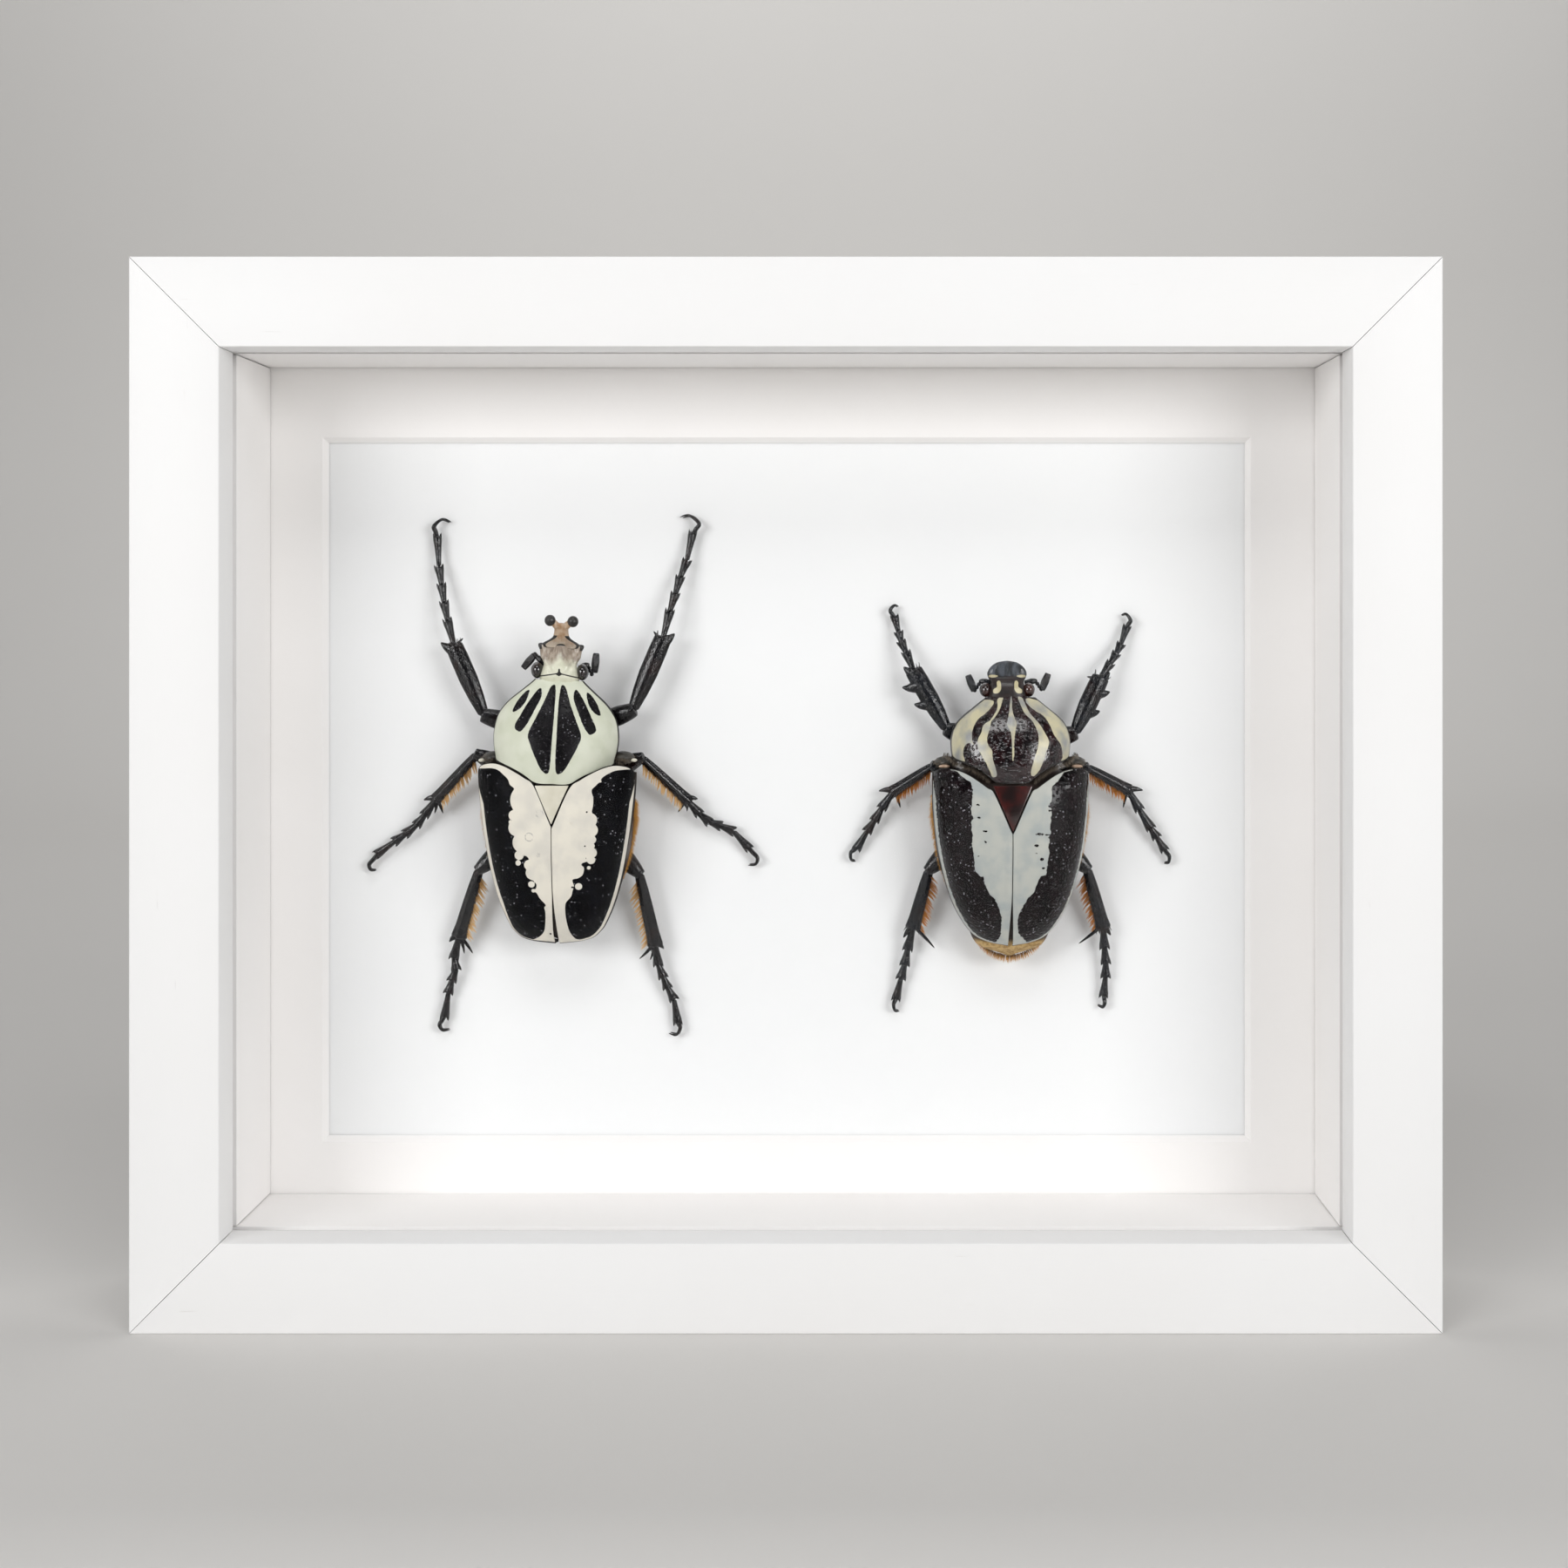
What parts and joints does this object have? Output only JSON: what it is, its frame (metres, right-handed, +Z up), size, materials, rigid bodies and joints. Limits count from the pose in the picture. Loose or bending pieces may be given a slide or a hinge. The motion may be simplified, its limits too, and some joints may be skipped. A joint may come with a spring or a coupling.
{
  "type": "boxed goliath beetle specimen",
  "caption": "Life-size mounted goliath beetle, horned male with spread legs, beside its mate on white card in a deep glazed wooden frame that stands on a shelf.",
  "frame": {"origin": "centre of the frame's underside, on the surface it stands on", "axes": "+X to the viewer's right along the frame's width, -Y out of the glass towards the viewer, +Z up towards the beetles' heads"},
  "size_m": [0.325, 0.056, 0.2665],
  "materials": {
    "painted_wood": "matt white paint over faint open grain",
    "glass": "clear float glass",
    "card": "smooth white mount board",
    "fibreboard": "plain brown hardboard",
    "steel_tab": "thin zinc-plated strip",
    "ivory_shell": "satin ivory chitin with black marks",
    "wing_cover": "satin chalky ivory chitin with broad velvety black bands",
    "horn_shell": "satin brown-ivory chitin with black knobs",
    "black_shell": "glossy punctured black chitin",
    "body_shell": "dark brown chitin with tan fuzz",
    "eye": "polished black-brown",
    "female_shell": "glossy maroon-black chitin with grey-white and ivory marks"
  },
  "bodies": {
    "root": {"abdomen": "body_shell", "back_panel": "fibreboard", "back_tab_1": "steel_tab", "back_tab_2": "steel_tab", "back_tab_3": "steel_tab", "back_tab_4": "steel_tab", "back_tab_5": "steel_tab", "back_tab_6": "steel_tab", "backing_card": "card", "breast_front": "body_shell", "eye_left": "eye", "eye_right": "eye", "feeler_left": "black_shell", "feeler_right": "black_shell", "female_beetle": "female_shell", "femur_fore_left": "black_shell", "femur_fore_right": "black_shell", "femur_hind_left": "black_shell", "femur_hind_right": "black_shell", "femur_mid_left": "black_shell", "femur_mid_right": "black_shell", "foot_fore_left": "black_shell", "foot_fore_right": "black_shell", "foot_hind_left": "black_shell", "foot_hind_right": "black_shell", "foot_mid_left": "black_shell", "foot_mid_right": "black_shell", "frame_rail_bottom": "painted_wood", "frame_rail_left": "painted_wood", "frame_rail_right": "painted_wood", "frame_rail_top": "painted_wood", "glass_pane": "glass", "head": "ivory_shell", "horn": "horn_shell", "mount_board": "card", "mouthparts": "black_shell", "pronotum": "ivory_shell", "scutellum": "ivory_shell", "spacer_bottom": "card", "spacer_left": "card", "spacer_right": "card", "spacer_top": "card", "thorax": "body_shell", "tibia_fore_left": "black_shell", "tibia_fore_right": "black_shell", "tibia_hind_left": "black_shell", "tibia_hind_right": "black_shell", "tibia_mid_left": "black_shell", "tibia_mid_right": "black_shell", "wing_cover_left": "wing_cover", "wing_cover_right": "wing_cover"}
  },
  "joints": []
}
